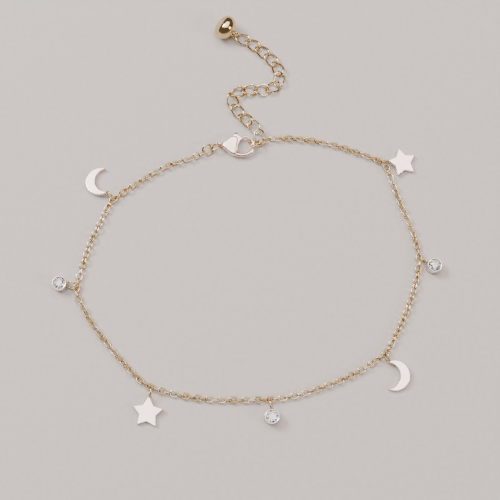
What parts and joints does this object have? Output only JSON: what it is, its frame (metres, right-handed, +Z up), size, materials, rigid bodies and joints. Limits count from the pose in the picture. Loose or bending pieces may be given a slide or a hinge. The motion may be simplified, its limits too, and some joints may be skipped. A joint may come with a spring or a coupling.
{
  "type": "chain anklet",
  "caption": "Fine gold chain anklet with hanging stars, moons and set stones, a lobster clasp with a lever, and an extension chain that ends in a bead.",
  "frame": {"origin": "on the floor under the middle of the whole piece as it lies, extension included", "axes": "+Z up from the floor; +Y from the loop towards the extension chain's bead; +X to the right of the loop as the camera sees it"},
  "size_m": [0.0902, 0.1001, 0.0057],
  "materials": {
    "chain_strand_1": "polished gold-plated steel wire",
    "chain_strand_2": "polished gold-plated steel wire",
    "chain_strand_3": "polished gold-plated steel wire",
    "chain_strand_4": "polished gold-plated steel wire",
    "chain_strand_5": "polished gold-plated steel wire",
    "chain_strand_6": "polished gold-plated steel wire",
    "chain_strand_7": "polished gold-plated steel wire",
    "chain_strand_8": "polished gold-plated steel wire",
    "charm_link_1": "polished gold-plated steel wire",
    "charm_link_2": "polished gold-plated steel wire",
    "charm_link_3": "polished gold-plated steel wire",
    "charm_link_4": "polished gold-plated steel wire",
    "charm_link_5": "polished gold-plated steel wire",
    "charm_link_6": "polished gold-plated steel wire",
    "charm_link_7": "polished gold-plated steel wire",
    "clasp_body": "polished plated steel",
    "clasp_lever": "polished plated steel",
    "clasp_ring_1": "polished gold-plated steel wire",
    "clasp_ring_2": "polished gold-plated steel wire",
    "end_bead": "polished plated steel",
    "end_ring": "polished gold-plated steel wire",
    "extension_link_01": "polished gold-plated steel wire",
    "extension_link_02": "polished gold-plated steel wire",
    "extension_link_03": "polished gold-plated steel wire",
    "extension_link_04": "polished gold-plated steel wire",
    "extension_link_05": "polished gold-plated steel wire",
    "extension_link_06": "polished gold-plated steel wire",
    "extension_link_07": "polished gold-plated steel wire",
    "extension_link_08": "polished gold-plated steel wire",
    "extension_link_09": "polished gold-plated steel wire",
    "extension_link_10": "polished gold-plated steel wire",
    "extension_link_11": "polished gold-plated steel wire",
    "extension_link_12": "polished gold-plated steel wire",
    "extension_link_13": "polished gold-plated steel wire",
    "extension_link_14": "polished gold-plated steel wire",
    "extension_link_15": "polished gold-plated steel wire",
    "moon_charm_1": "polished plated steel",
    "moon_charm_2": "polished plated steel",
    "star_charm_1": "polished plated steel",
    "star_charm_2": "polished plated steel",
    "stone_1": "clear brilliant-cut stone",
    "stone_2": "clear brilliant-cut stone",
    "stone_3": "clear brilliant-cut stone",
    "stone_setting_1": "polished plated steel",
    "stone_setting_2": "polished plated steel",
    "stone_setting_3": "polished plated steel"
  },
  "bodies": {
    "anklet": {"chain_strand_1": "chain_strand_1", "chain_strand_2": "chain_strand_2", "chain_strand_3": "chain_strand_3", "chain_strand_4": "chain_strand_4", "chain_strand_5": "chain_strand_5", "chain_strand_6": "chain_strand_6", "chain_strand_7": "chain_strand_7", "chain_strand_8": "chain_strand_8", "charm_link_1": "charm_link_1", "charm_link_2": "charm_link_2", "charm_link_3": "charm_link_3", "charm_link_4": "charm_link_4", "charm_link_5": "charm_link_5", "charm_link_6": "charm_link_6", "charm_link_7": "charm_link_7", "clasp_body": "clasp_body", "clasp_ring_1": "clasp_ring_1", "clasp_ring_2": "clasp_ring_2", "end_bead": "end_bead", "end_ring": "end_ring", "extension_link_01": "extension_link_01", "extension_link_02": "extension_link_02", "extension_link_03": "extension_link_03", "extension_link_04": "extension_link_04", "extension_link_05": "extension_link_05", "extension_link_06": "extension_link_06", "extension_link_07": "extension_link_07", "extension_link_08": "extension_link_08", "extension_link_09": "extension_link_09", "extension_link_10": "extension_link_10", "extension_link_11": "extension_link_11", "extension_link_12": "extension_link_12", "extension_link_13": "extension_link_13", "extension_link_14": "extension_link_14", "extension_link_15": "extension_link_15", "moon_charm_1": "moon_charm_1", "moon_charm_2": "moon_charm_2", "star_charm_1": "star_charm_1", "star_charm_2": "star_charm_2", "stone_1": "stone_1", "stone_2": "stone_2", "stone_3": "stone_3", "stone_setting_1": "stone_setting_1", "stone_setting_2": "stone_setting_2", "stone_setting_3": "stone_setting_3"},
    "lever": {"clasp_lever": "clasp_lever"}
  },
  "joints": [
    {"name": "lever_pivot", "type": "hinge", "parent": "anklet", "child": "lever", "pos_m": [-0.00318, 0.01554, 0.00115], "axis": [0, 0, 1], "range_deg": [0, 20], "stiffness_Nm_per_rad": 0.002, "springref_deg": -17.19}
  ]
}
